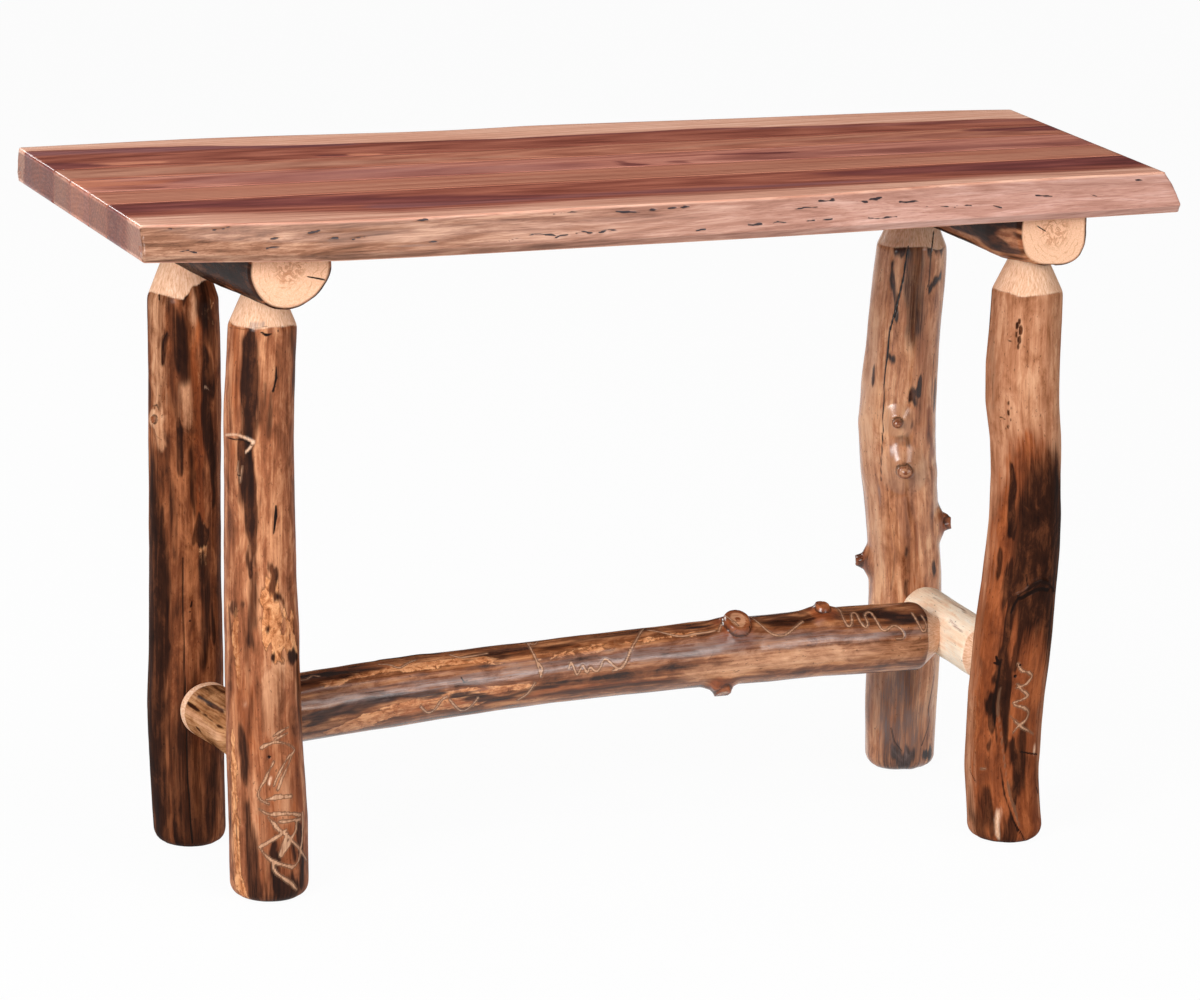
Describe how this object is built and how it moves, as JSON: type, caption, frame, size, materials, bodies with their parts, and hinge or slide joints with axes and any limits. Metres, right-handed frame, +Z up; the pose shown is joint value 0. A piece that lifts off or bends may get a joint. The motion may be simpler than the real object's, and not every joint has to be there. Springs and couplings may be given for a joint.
{
  "type": "sofa table",
  "caption": "Long narrow rustic sofa table: a live-edge plank top on two half-log bolsters and peeled log legs, tied by rungs and a bowed log stretcher.",
  "frame": {"origin": "on the floor under the middle of the table's bounding box", "axes": "+X along the table to the right as seen from the front, +Y to the back, +Z up"},
  "size_m": [1.19, 0.53, 0.762],
  "materials": {
    "walnut_top": "satin clear coat",
    "peeled_logs": "satin clear coat",
    "screw_steel": "zinc plated"
  },
  "bodies": {
    "root": {"back_live_edge_board": "walnut_top", "back_inner_board": "walnut_top", "centre_board": "walnut_top", "front_inner_board": "walnut_top", "front_live_edge_board": "walnut_top", "leg_front_left": "peeled_logs", "leg_back_left": "peeled_logs", "leg_front_right": "peeled_logs", "leg_back_right": "peeled_logs", "bolster_left": "peeled_logs", "bolster_right": "peeled_logs", "rung_left": "peeled_logs", "rung_right": "peeled_logs", "stretcher": "peeled_logs", "leg_screw_front_left": "screw_steel", "leg_screw_back_left": "screw_steel", "leg_screw_front_right": "screw_steel", "leg_screw_back_right": "screw_steel", "rung_screw_front_left": "screw_steel", "rung_screw_back_left": "screw_steel", "rung_screw_front_right": "screw_steel", "rung_screw_back_right": "screw_steel", "stretcher_screw_left": "screw_steel", "stretcher_screw_right": "screw_steel", "top_screw_left_front": "screw_steel", "top_screw_left_centre": "screw_steel", "top_screw_left_back": "screw_steel", "top_screw_right_front": "screw_steel", "top_screw_right_centre": "screw_steel", "top_screw_right_back": "screw_steel"}
  },
  "joints": []
}
